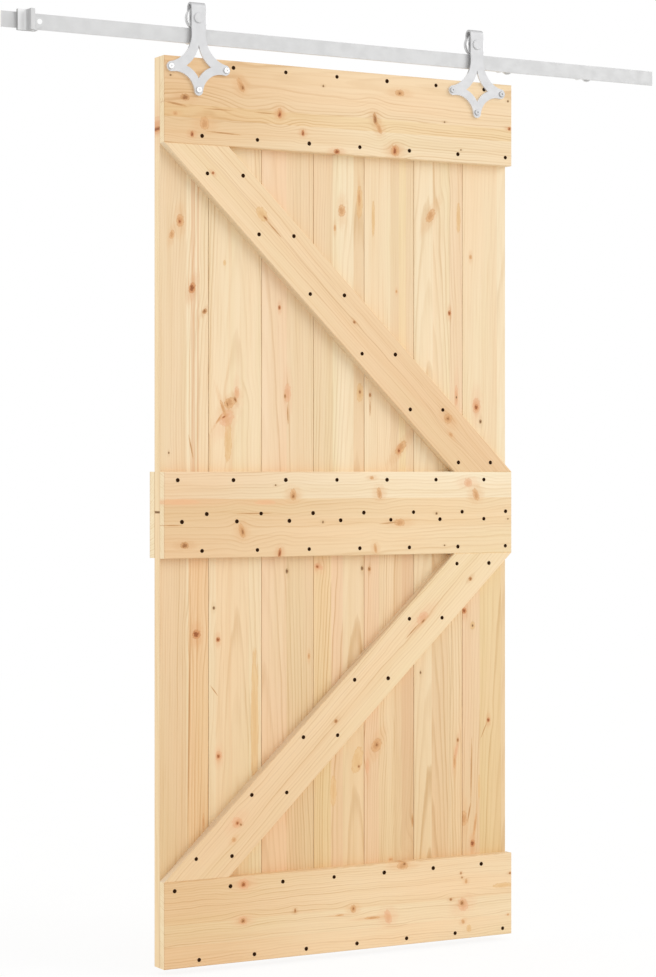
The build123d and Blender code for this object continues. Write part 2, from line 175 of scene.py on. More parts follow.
class ShaderGraph(NodeGraph):
    """The node tree of a material or world, with short calls for the nodes used here."""

    MIX_SHARE, MIX_FIRST, MIX_SECOND, MIX_RESULT = 0, 6, 7, 2

    def __init__(self, owner: bpy.types.Material | bpy.types.World) -> None:
        """Start with an empty tree.

        Args:
            owner: The material or world.
        """
        owner.use_nodes = True
        self.owner = owner
        super().__init__(owner.node_tree)
        self.tree.nodes.clear()

    def math(self, operation: str, *values: Field | float) -> Field:
        """One Math node."""
        made = self.node("ShaderNodeMath", {"operation": operation}, dict(enumerate(values)))
        return Field(self, made.outputs[0])

    def vector(self, operation: str, *values: Any) -> Socket:
        """One Vector Math node that gives a vector."""
        made = self.node("ShaderNodeVectorMath", {"operation": operation}, dict(enumerate(values)))
        return made.outputs["Vector"]

    def length(self, vector: Socket) -> Field:
        """A vector's length."""
        made = self.node("ShaderNodeVectorMath", {"operation": "LENGTH"}, {0: vector})
        return Field(self, made.outputs["Value"])

    def split(self, vector: Socket) -> tuple[Field, Field, Field]:
        """A vector's three parts."""
        made = self.node("ShaderNodeSeparateXYZ", None, {0: vector})
        return tuple(Field(self, output) for output in made.outputs)

    def place(self) -> Socket:
        """The surface point in the object's own frame."""
        return self.node("ShaderNodeTexCoord").outputs["Object"]

    def facing(self) -> Socket:
        """The way the surface faces in the object's own frame."""
        return self.node("ShaderNodeTexCoord").outputs["Normal"]

    def noise(
        self, place: Socket, scale: float, detail: float = 2.0, roughness: float = 0.5
    ) -> Field:
        """Smooth noise about 0.5.

        Args:
            place: Where it is read.
            scale: Patches to the unit.
            detail: Finer octaves.
            roughness: How strong the finer octaves are.

        Returns:
            The noise.
        """
        inputs = {"Vector": place, "Scale": scale, "Detail": detail, "Roughness": roughness}
        return Field(self, self.node("ShaderNodeTexNoise", None, inputs).outputs[0])

    def smooth(
        self, value: Field, low: float, high: float, start: float = 0.0, end: float = 1.0
    ) -> Field:
        """A soft step.

        Args:
            value: What is stepped.
            low: Where the step starts.
            high: Where it ends.
            start: Result below the step.
            end: Result above it.

        Returns:
            The stepped value.
        """
        limits = {"From Min": low, "From Max": high, "To Min": start, "To Max": end}
        settings = {"interpolation_type": "SMOOTHSTEP"}
        made = self.node("ShaderNodeMapRange", settings, {"Value": value, **limits})
        return Field(self, made.outputs["Result"])

    def ramp(self, value: Field, stops: Sequence[Stop], interpolation: str) -> bpy.types.Node:
        """A colour ramp.

        Args:
            value: What it reads.
            stops: Place and colour of each stop.
            interpolation: How it passes from stop to stop.

        Returns:
            The ramp node, with colour and alpha outputs.
        """
        settings = {"interpolation": interpolation, "stops": stops}
        return self.node("ShaderNodeValToRGB", settings, {0: value})

    def mix(self, share: Field | float, first: Any, second: Any, blend: str = "MIX") -> Socket:
        """Two colours mixed.

        Args:
            share: How much of the second.
            first: A colour or a link.
            second: A colour or a link.
            blend: How they mix.

        Returns:
            The mixed colour.
        """
        settings = {"data_type": "RGBA", "blend_type": blend, "clamp_factor": True}
        inputs = {self.MIX_SHARE: share, self.MIX_FIRST: first, self.MIX_SECOND: second}
        return self.node("ShaderNodeMix", settings, inputs).outputs[self.MIX_RESULT]

    def shade(self, share: Field | float, colour: Any, tint: Colour) -> Socket:
        """A colour darkened by a tint."""
        return self.mix(share, colour, tint, "MULTIPLY")

    def surface(
        self, inputs: Mapping[str, Any], relief: Field, depth: float
    ) -> bpy.types.Material:
        """Close the material with its surface shader.

        Args:
            inputs: Sockets of the surface shader.
            relief: Height of the surface, from 0 to 1.
            depth: What 1 stands for, in metres.

        Returns:
            The material.
        """
        shader = self.node("ShaderNodeBsdfPrincipled", None, inputs)
        relieved = {"Strength": 1.0, "Distance": depth, "Height": relief}
        bump = self.node("ShaderNodeBump", None, relieved)
        self.tree.links.new(bump.outputs[0], shader.inputs["Normal"])
        self.node("ShaderNodeOutputMaterial", None, {"Surface": shader.outputs[0]})
        return self.owner


# Wood


class Grain(Enum):
    """Which way a board's grain runs, seen from the front."""

    LEVEL = "level"
    UPRIGHT = "upright"
    FALLING = "falling to the right"
    RISING = "rising to the right"


class Shade(Enum):
    """Tint of one glued stave against its board's own tone."""

    PALE = (1.0, 1.0, 1.0)
    LIGHT = (0.99, 0.95, 0.918)
    YELLOW = (0.972, 0.912, 0.809)
    PINK = (0.99, 0.902, 0.886)
    PLAIN = (0.945, 0.874, 0.82)
    WARM = (0.91, 0.80, 0.747)
    HONEY = (0.955, 0.872, 0.775)
    AMBER = (0.985, 0.865, 0.77)


@dataclass(frozen=True)
class KnotLook:
    """Colours of a kind of knot, how strongly its parts show and how far it pushes the grain."""

    body: Colour
    core: Colour
    body_share: float
    core_share: float
    rim_share: float
    halo_share: float
    pull: float


class Kind(Enum):
    """Kinds of knot that the boards have, from the faintest to the one that covers the others."""

    HIDDEN = KnotLook(tone(238, 206, 160), tone(230, 196, 150), 0.15, 0.15, 0.1, 0.15, 0.8)
    WASH = KnotLook(tone(240, 188, 142), tone(236, 180, 134), 0.7, 0.2, 0.0, 0.3, 0.0)
    FLAME = KnotLook(tone(234, 194, 138), tone(222, 172, 112), 0.75, 0.3, 0.5, 0.1, 0.2)
    PINK = KnotLook(tone(236, 184, 142), tone(224, 162, 116), 0.7, 0.4, 0.25, 0.3, 0.3)
    TAN = KnotLook(tone(228, 176, 122), tone(200, 142, 88), 0.75, 0.6, 0.4, 0.35, 0.4)
    LINE = KnotLook(tone(210, 160, 106), tone(180, 122, 68), 0.75, 0.6, 0.0, 0.0, 0.0)
    BROWN = KnotLook(tone(214, 160, 106), tone(156, 102, 54), 0.95, 0.9, 0.3, 0.3, 0.5)
    RED = KnotLook(tone(220, 154, 100), tone(156, 88, 42), 0.95, 1.0, 0.3, 0.35, 0.5)
    DARK = KnotLook(tone(196, 156, 108), tone(116, 80, 44), 0.85, 1.0, 0.1, 0.2, 0.6)


@dataclass(frozen=True)
class Streak:
    """A coloured line along the grain, in millimetres from its board's left or lower edge."""

    place: float
    width: float
    colour: Colour
    share: float


@dataclass(frozen=True)
class LeafFrame:
    """The door leaf's lower left front corner, from which places on it are measured."""

    corner: Vector

    @classmethod
    def of_boards(cls) -> "LeafFrame":
        """The corner of the lowest board's front."""
        return cls(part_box("footer_board")[0])

    def place(self, across: float, up: float, proud: float = 0.0) -> Vector:
        """A point on the boards' front, in metres.

        Args:
            across: Millimetres from the left edge.
            up: Millimetres above the bottom edge.
            proud: Millimetres in front of the boards.

        Returns:
            The point.
        """
        return self.corner + Vector((across, -proud, up)) * MM


@dataclass(frozen=True)
class BoardFrame:
    """One board's middle and size along its own grain."""

    centre: Vector
    turn: float
    length: float
    width: float
    thickness: float

    UPRIGHT_FROM = math.pi / 3

    @classmethod
    def of(cls, node: str, grain: Grain, level_cut: float) -> "BoardFrame":
        """Measure a board.

        Args:
            node: The CAD node.
            grain: Which way its grain runs.
            level_cut: Length of a slanted board's level ends, in metres.

        Returns:
            The board's own frame.
        """
        low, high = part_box(node)
        span = high - low
        centre = (low + high) / 2
        if grain is Grain.LEVEL:
            return cls(centre, 0.0, span.x, span.z, span.y)
        if grain is Grain.UPRIGHT:
            return cls(centre, -math.pi / 2, span.z, span.x, span.y)
        run = span.x - level_cut
        length = math.hypot(run, span.z)
        slope = math.atan2(span.z, run)
        turn = slope if grain is Grain.RISING else -slope
        return cls(centre, turn, length, level_cut * span.z / length, span.y)

    @property
    def upright(self) -> bool:
        """Whether the grain runs up the door."""
        return abs(self.turn) >= self.UPRIGHT_FROM

    def turned(self, point: Vector) -> Vector:
        """A point of the object in the board's own frame, along, depth and across.

        Args:
            point: The point.

        Returns:
            The point from the board's middle.
        """
        return self._turn(point) - self._turn(self.centre)

    def _turn(self, point: Vector) -> Vector:
        """A point turned with the grain.

        Args:
            point: The point.

        Returns:
            The point along, through and across the board.
        """
        cosine, sine = math.cos(self.turn), math.sin(self.turn)
        along = point.x * cosine + point.z * sine
        across = point.z * cosine - point.x * sine
        return Vector((along, point.y, across))

    def facing_side(self, graph: ShaderGraph) -> Field:
        """How squarely the surface faces the door's side, or a slanted board's long edge.

        Args:
            graph: The board's shader.

        Returns:
            From -1 to 1.
        """
        normal = graph.split(graph.facing())
        if self.upright or self.turn == 0.0:
            return normal[0]
        return normal[2] * math.cos(self.turn) - normal[0] * math.sin(self.turn)

    def mapped(self, graph: ShaderGraph) -> Socket:
        """The surface point in the board's own frame.

        Args:
            graph: The board's shader.

        Returns:
            The point, along, depth and across.
        """
        inputs = {
            "Vector": graph.place(),
            "Location": -self._turn(self.centre),
            "Rotation": (0, self.turn, 0),
        }
        return graph.node("ShaderNodeMapping", {"vector_type": "POINT"}, inputs).outputs[0]


@dataclass(frozen=True)
class GrainNoise:
    """A noise stretched along the grain: patches to the metre and how far a board shifts it."""

    patches: tuple[float, float, float]
    shifts: tuple[float, float, float]
    detail: float = 2.0
    roughness: float = 0.5


@dataclass(frozen=True)
class WoodPoint:
    """A surface point as one board's shader reads it: along, through and across the board."""

    graph: ShaderGraph
    board: BoardFrame
    place: Socket
    along: Field
    depth: Field
    across: Field
    shift: float

    @classmethod
    def on(cls, graph: ShaderGraph, board: BoardFrame, shift: float) -> "WoodPoint":
        """Start a board's shader.

        Args:
            graph: The board's shader.
            board: The board.
            shift: Moves every noise, from board to board.

        Returns:
            The point.
        """
        place = board.mapped(graph)
        return cls(graph, board, place, *graph.split(place), shift)

    def noise(self, kind: GrainNoise) -> Field:
        """Read a noise here.

        Args:
            kind: Which noise.

        Returns:
            The noise, about 0.5.
        """
        start = tuple(self.shift * part for part in kind.shifts)
        stretched = self.graph.vector("MULTIPLY_ADD", self.place, kind.patches, start)
        return self.graph.noise(stretched, 1.0, kind.detail, kind.roughness)


@dataclass(frozen=True)
class Knot:
    """One knot, in millimetres from the door's lower left corner, leaning right in degrees."""

    across_door: float
    up_door: float
    wide: float
    tall: float
    kind: Kind
    lean: float = 0.0

    RAGGED = {"Scale": 1.4, "Detail": 4.0, "Roughness": 0.7}
    RAGGED_BY = 0.95
    TAIL_STRETCH = (0.42, 0.0, 0.85)
    FLOW_STRETCH = (0.2, 0.0, 0.34)
    SPECKLE = (2.4, 4.0, 0.75)
    SPECKLE_STEP = (0.3, 0.55, 0.6, 1.0)
    HALO_STEP = (0.5, 1.7)
    BODY_STEP = (0.8, 1.1)
    RIM_AT = 0.95
    RIM_WIDTH = 0.16
    CORE_STEP = (0.3, 0.8)

    def marks(self, point: WoodPoint, leaf: LeafFrame) -> tuple[Field, list[Field]]:
        """What the knot does to the wood round it.

        Args:
            point: The surface point of its board.
            leaf: Where places on the door are measured from.

        Returns:
            How far it pushes the grain aside, and the masks of its halo, body, rim and core.
        """
        graph, look = point.graph, self.kind.value
        half_across, local = self._local(point, leaf)
        ragged = graph.node("ShaderNodeTexNoise", None, {"Vector": local, **self.RAGGED})
        most = self.RAGGED_BY
        spread, least = (2 * most, 0.0, 2 * most), (-most, 0.0, -most)
        jitter = graph.vector("MULTIPLY_ADD", ragged.outputs["Color"], spread, least)
        rough = graph.vector("ADD", local, jitter)
        distance = graph.length(rough)
        tail = graph.length(graph.vector("MULTIPLY", rough, self.TAIL_STRETCH))
        flow = graph.length(graph.vector("MULTIPLY", local, self.FLOW_STRETCH))
        near = (flow * flow * -1.0).math("EXPONENT")
        pull = graph.split(local)[2] * near * (-look.pull * half_across)
        speckle = graph.smooth(graph.noise(local, *self.SPECKLE), *self.SPECKLE_STEP)
        masks = [
            graph.smooth(tail, *self.HALO_STEP, look.halo_share, 0.0),
            graph.smooth(distance, *self.BODY_STEP, look.body_share, 0.0),
            graph.smooth(abs(distance - self.RIM_AT), 0.0, self.RIM_WIDTH, look.rim_share, 0.0),
            graph.smooth(distance, *self.CORE_STEP, look.core_share, 0.0),
        ]
        return pull, [mask * speckle for mask in masks]

    def _local(self, point: WoodPoint, leaf: LeafFrame) -> tuple[float, Socket]:
        """The surface point from the knot's middle, where its outline is a circle of 1.

        Args:
            point: The surface point of its board.
            leaf: Where places on the door are measured from.

        Returns:
            Half the knot's size across the grain in metres, and the point.
        """
        middle = point.board.turned(leaf.place(self.across_door, self.up_door))
        long, short = (self.tall, self.wide) if point.board.upright else (self.wide, self.tall)
        half_along, half_across = long * MM / 2, short * MM / 2
        inputs = {
            "Vector": point.place,
            "Location": (middle.x, 0.0, middle.z),
            "Rotation": (0.0, math.radians(self.lean), 0.0),
            "Scale": (half_along, 1.0, half_across),
        }
        mapped = point.graph.node("ShaderNodeMapping", {"vector_type": "TEXTURE"}, inputs)
        return half_across, mapped.outputs[0]


@dataclass(frozen=True)
class Pine:
    """Planed pine with year rings, glued staves, coloured streaks and knots."""

    seed: int
    grain: Grain
    start: Colour
    end: Colour
    staves: tuple[tuple[float, Shade], ...] = ((0.0, Shade.LIGHT),)
    knots: tuple[Knot, ...] = ()
    streaks: tuple[Streak, ...] = ()
    ring_width: float = 6.0
    pith_depth: float = 60.0
    pith_side: float = 0.1
    drift: float = 0.03
    line_share: float = 0.55
    wander: float = 16.0
    ripple: float = 2.0
    settles: float = 0.5
    arris: float = 0.5
    joint: float = 0.0
    # Painted light and shade: the tone of the side faces, set for how light falls on them.
    edge: Colour = tone(255, 238, 200)

    LEVEL_CUT = 0.166
    SEED_SHIFT = 3.17
    SEED_PHASE = 0.13
    STAVE_PHASE = 0.37

    WANDER = GrainNoise((1.3, 4.0, 4.0), (1.0, 0.7, 0.0))
    RIPPLE = GrainNoise((14.0, 4.0, 30.0), (1.0, 1.0, 1.0))
    FIBRES = GrainNoise((5.0, 260.0, 260.0), (0.0, 1.0, 1.0), 3.0, 0.6)
    BANDS = GrainNoise((0.7, 20.0, 42.0), (1.0, 1.0, 0.0))
    CLOUDS = GrainNoise((1.6, 9.0, 11.0), (0.0, 1.9, 1.0))
    RING_WAVES = GrainNoise((7.0, 60.0, 60.0), (1.0, 0.0, 1.0))
    RING_PATCHES = GrainNoise((2.2, 14.0, 14.0), (1.3, 0.0, 1.0))

    CLOUD_STOPS = (
        (0.3, (1.02, 0.985, 0.965, 1.0)),
        (0.5, (1.0, 1.0, 1.0, 1.0)),
        (0.7, (0.985, 1.01, 0.985, 1.0)),
    )
    RING_STOPS = tuple(
        (place, (dark, dark, dark, 1.0))
        for place, dark in ((0.0, 0.0), (0.45, 0.1), (0.84, 1.0), (0.92, 0.7), (1.0, 0.0))
    )
    STAVE_RINGS = 9.0
    WAVE_RINGS = 0.5
    FAINTEST_RING = 0.2
    RING_FADE = (0.35, 0.65, 0.45, 1.0)

    LATE_WOOD_TINT = (0.74, 0.60, 0.44, 1.0)
    BAND_TINT = (0.93, 0.88, 0.80, 1.0)
    BAND_STEP = (0.35, 0.75)
    BAND_SHARE = 0.5
    FIBRE_TINT = (0.90, 0.83, 0.74, 1.0)
    FIBRE_STEP = (0.45, 0.8)
    FIBRE_SHARE = 0.6
    STREAK_FIBRES = (0.2, 0.6)

    SIDE_STEP = (0.85, 0.98)
    SIDE_LIGHT_SHARE = 0.7
    ARRIS_TINT = (0.62, 0.48, 0.34, 1.0)
    ARRIS_REACH = 3.0 * MM
    JOINT_TINT = (0.36, 0.24, 0.13, 1.0)
    JOINT_REACH = (3.0 * MM, 1.5 * MM)

    ROUGHNESS = (0.2, 0.8, 0.46, 0.62)
    SHINE = 0.3
    FIBRE_RELIEF = 0.6
    RING_RELIEF = 0.4
    RELIEF = 0.00025

    def material(self, node: str, leaf: LeafFrame) -> bpy.types.Material:
        """Build the finish of one board.

        Args:
            node: The CAD node that it is for.
            leaf: Where places on the door are measured from.

        Returns:
            The material.
        """
        graph = ShaderGraph(bpy.data.materials.new(f"pine_{node}"))
        board = BoardFrame.of(node, self.grain, self.LEVEL_CUT)
        point = WoodPoint.on(graph, board, self.seed * self.SEED_SHIFT)
        bent, stains = self._bend(point, leaf)
        stops = self._stave_stops(board.width)
        staves = graph.ramp(point.across / board.width + 0.5, stops, "CONSTANT")
        line = self._year_lines(point, bent, Field(graph, staves.outputs["Alpha"]))
        fibre = point.noise(self.FIBRES)
        band = graph.smooth(point.noise(self.BANDS), *self.BAND_STEP) * self.BAND_SHARE
        fibres = graph.smooth(fibre, *self.FIBRE_STEP) * self.FIBRE_SHARE

        colour = self._ground(point, staves.outputs["Color"])
        colour = self._sides(point, colour)
        colour = graph.shade(band, colour, self.BAND_TINT)
        colour = graph.shade(fibres, colour, self.FIBRE_TINT)
        colour = graph.shade(line * self.line_share, colour, self.LATE_WOOD_TINT)
        for streak in self.streaks:
            offset = abs(bent - (streak.place * MM - board.width / 2))
            mask = graph.smooth(offset, 0.0, streak.width * MM / 2, streak.share, 0.0)
            broken = mask * graph.smooth(fibre, *self.STREAK_FIBRES)
            colour = graph.mix(broken, colour, streak.colour)
        for kind in Kind:
            body, core = kind.value.body, kind.value.core
            for mask, tint in zip(stains.get(kind, ()), (body, body, core, core)):
                colour = graph.mix(mask, colour, tint)

        inputs = {
            "Base Color": colour,
            "Roughness": graph.smooth(fibre, *self.ROUGHNESS),
            "Specular IOR Level": self.SHINE,
        }
        relief = fibre * self.FIBRE_RELIEF + line * self.RING_RELIEF
        return graph.surface(inputs, relief, self.RELIEF)

    def _bend(self, point: WoodPoint, leaf: LeafFrame) -> tuple[Field, dict[Kind, list[Field]]]:
        """Bend the grain, slowly, quickly and round each knot.

        Args:
            point: The surface point.
            leaf: Where places on the door are measured from.

        Returns:
            The place across the bent grain, and for each kind of knot the masks of all its knots.
        """
        bent = point.across + (point.noise(self.WANDER) - 0.5) * (2 * self.wander * MM)
        bent = bent + (point.noise(self.RIPPLE) - 0.5) * (2 * self.ripple * MM)
        stains: dict[Kind, list[Field]] = {}
        for knot in self.knots:
            pull, masks = knot.marks(point, leaf)
            bent = bent + pull
            if knot.kind in stains:
                pairs = zip(stains[knot.kind], masks)
                masks = [held.math("MAXIMUM", mask) for held, mask in pairs]
            stains[knot.kind] = masks
        return bent, stains

    def _ground(self, point: WoodPoint, tint: Socket) -> Socket:
        """The board's own colour from end to end, with its staves and soft clouds.

        Args:
            point: The surface point.
            tint: The stave's tint.

        Returns:
            The colour.
        """
        graph = point.graph
        run = graph.smooth(point.along / point.board.length, -0.5, self.settles)
        colour = graph.shade(1.0, graph.mix(run, self.start, self.end), tint)
        clouds = graph.ramp(point.noise(self.CLOUDS), self.CLOUD_STOPS, "LINEAR")
        return graph.shade(1.0, colour, clouds.outputs[0])

    def _sides(self, point: WoodPoint, colour: Socket) -> Socket:
        """Painted light and shade on the side faces as a tone, darker at arrises and at a butt
        joint.

        Args:
            point: The surface point.
            colour: The colour before it.

        Returns:
            The colour.
        """
        graph, board = point.graph, point.board
        side_face = graph.smooth(abs(board.facing_side(graph)), *self.SIDE_STEP)
        # Painted light and shade: the side faces take their own tone for how light falls there.
        colour = graph.mix(side_face * self.SIDE_LIGHT_SHARE, colour, self.edge)
        half = board.thickness / 2
        arris = graph.smooth(abs(point.depth), half - self.ARRIS_REACH, half)
        colour = graph.shade(side_face * arris * self.arris, colour, self.ARRIS_TINT)
        joint_end = point.along * math.copysign(1.0, self.joint)
        joint = graph.smooth(joint_end, *(board.length / 2 - reach for reach in self.JOINT_REACH))
        return graph.shade(side_face * joint * abs(self.joint), colour, self.JOINT_TINT)

    def _year_lines(self, point: WoodPoint, bent: Field, phase: Field) -> Field:
        """The dark late wood of each year ring.

        Args:
            point: The surface point.
            bent: The place across the bent grain.
            phase: The stave's own part of a ring.

        Returns:
            The lines, from 0 to 1.
        """
        graph = point.graph
        side = bent - self.pith_side * point.board.width
        below = point.depth - self.pith_depth * MM + point.along * self.drift
        radius = (side * side + below * below).math("SQRT")
        waves = point.noise(self.RING_WAVES) * self.WAVE_RINGS
        rings = radius / (self.ring_width * MM) + phase * self.STAVE_RINGS + waves
        late = Field(graph, graph.ramp(rings.math("FRACT"), self.RING_STOPS, "EASE").outputs[0])
        year = {"W": rings.math("FLOOR") + point.shift}
        noise = graph.node("ShaderNodeTexWhiteNoise", {"noise_dimensions": "1D"}, year)
        strength = Field(graph, noise.outputs["Value"])
        fade = graph.smooth(point.noise(self.RING_PATCHES), *self.RING_FADE)
        strength = strength * strength * (1.0 - self.FAINTEST_RING) + self.FAINTEST_RING
        return late * strength * fade

    def _stave_stops(self, width: float) -> list[Stop]:
        """Places and tints of the staves, each with its own part of a ring in the alpha.

        Args:
            width: The board's width in metres.

        Returns:
            Stops for a ramp across the board.
        """
        stops = []
        for index, (start, shade) in enumerate(self.staves):
            phase = (index * self.STAVE_PHASE + self.seed * self.SEED_PHASE) % 1.0
            stops.append((start * MM / width, (*shade.value, phase)))
        return stops if len(stops) > 1 else [*stops, (1.0, stops[0][1])]


# Metal, rubber and coated nails


@dataclass(frozen=True)
class Parting:
    """Another tone past a plane, on front faces or on edges, for painted light and shade."""

    axis: int
    place: float
    tone: Colour
    on_edges: bool
    toward: int = 1

    def tinted(self, graph: ShaderGraph, colour: Any) -> Socket:
        """A colour changed past the plane.

        Args:
            graph: The shader.
            colour: The colour before it.

        Returns:
            The colour on both sides.
        """
        reach = graph.split(graph.place())[self.axis] * self.toward
        start = self.place * self.toward
        return graph.mix(graph.smooth(reach, start - MM, start + MM), colour, self.tone)


@dataclass(frozen=True)
class ZincSteel:
    """Zinc coated steel: flat faces, edges with painted light and shade, and a faint mottle."""

    name: str
    face: Colour
    edge: Colour
    metallic: float = 0.35
    roughness: float = 0.58
    partings: tuple[Parting, ...] = ()

    PATCHES = (45.0, 3.0)
    GRIT = (900.0, 2.0)
    FRONT_STEP = (0.55, 0.95)
    MOTTLE_TINT = (0.9, 0.9, 0.9, 1.0)
    MOTTLE_STEP = (0.35, 0.7)
    MOTTLE_SHARE = 0.05
    ROUGH_STEP = (0.3, 0.7)
    ROUGH_SPREAD = (-0.05, 0.07)
    RELIEF = 0.00004

    def material(self) -> bpy.types.Material:
        """Build the finish.

        Returns:
            The material.
        """
        graph = ShaderGraph(bpy.data.materials.new(self.name))
        place = graph.place()
        front = abs(graph.split(graph.facing())[1])
        patches = graph.noise(place, *self.PATCHES)
        face, edge = self.face, self.edge
        for parting in self.partings:
            if parting.on_edges:
                edge = parting.tinted(graph, edge)
            else:
                face = parting.tinted(graph, face)
        # Painted light and shade: faces that don't look to the front or back take the edge tone.
        colour = graph.mix(graph.smooth(front, *self.FRONT_STEP), edge, face)
        mottle = graph.smooth(patches, *self.MOTTLE_STEP) * self.MOTTLE_SHARE
        spread = (self.roughness + part for part in self.ROUGH_SPREAD)
        inputs = {
            "Base Color": graph.shade(mottle, colour, self.MOTTLE_TINT),
            "Metallic": self.metallic,
            "Roughness": graph.smooth(patches, *self.ROUGH_STEP, *spread),
        }
        return graph.surface(inputs, graph.noise(place, *self.GRIT), self.RELIEF)


@dataclass(frozen=True)
class MattStuff:
    """A plain matt stuff with fine speckle, such as rubber or the black coat of nails."""

    name: str
    low: Colour
    high: Colour
    roughness: float
    speckle_scale: float
    relief: float
    shine: float = 0.3

    SPECKLE_DETAIL = 3.0
    STEP = (0.3, 0.7)
    ROUGH_SPREAD = 0.08

    def material(self) -> bpy.types.Material:
        """Build the finish.

        Returns:
            The material.
        """
        graph = ShaderGraph(bpy.data.materials.new(self.name))
        speckle = graph.noise(graph.place(), self.speckle_scale, self.SPECKLE_DETAIL)
        smooth, rough = self.roughness - self.ROUGH_SPREAD, self.roughness + self.ROUGH_SPREAD
        inputs = {
            "Base Color": graph.mix(graph.smooth(speckle, *self.STEP), self.low, self.high),
            "Roughness": graph.smooth(speckle, *self.STEP, smooth, rough),
            "Specular IOR Level": self.shine,
        }
        return graph.surface(inputs, speckle, self.relief)


def dress(node: str, material: bpy.types.Material) -> None:
    """Give a CAD node one material.

    Args:
        node: The node's name.
        material: Its finish.
    """
    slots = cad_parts[node].data.materials
    slots.clear()
    slots.append(material)
    LOG.info("%s: %s", node, material.name)


# The leaf

PALE = tone(249, 229, 194)
SHADED_START = tone(246, 223, 186)
SHADED_END = tone(237, 210, 167)
RUST = tone(222, 170, 116)
# Painted light: a lighter tone for the planks' side faces at the door's ends.
PLANK_SIDE_LIGHT = tone(254, 229, 187)
BRACE_STREAK = tone(206, 164, 120)


@dataclass(frozen=True)
class Tier:
    """One tier of planks, from left to right, and the finish that they share."""

    name: str
    first_seed: int
    start: Colour
    end: Colour
    joint: float
    line_share: float
    staves: tuple[tuple[tuple[float, Shade], ...], ...]
    knots: tuple[tuple[Knot, ...], ...]


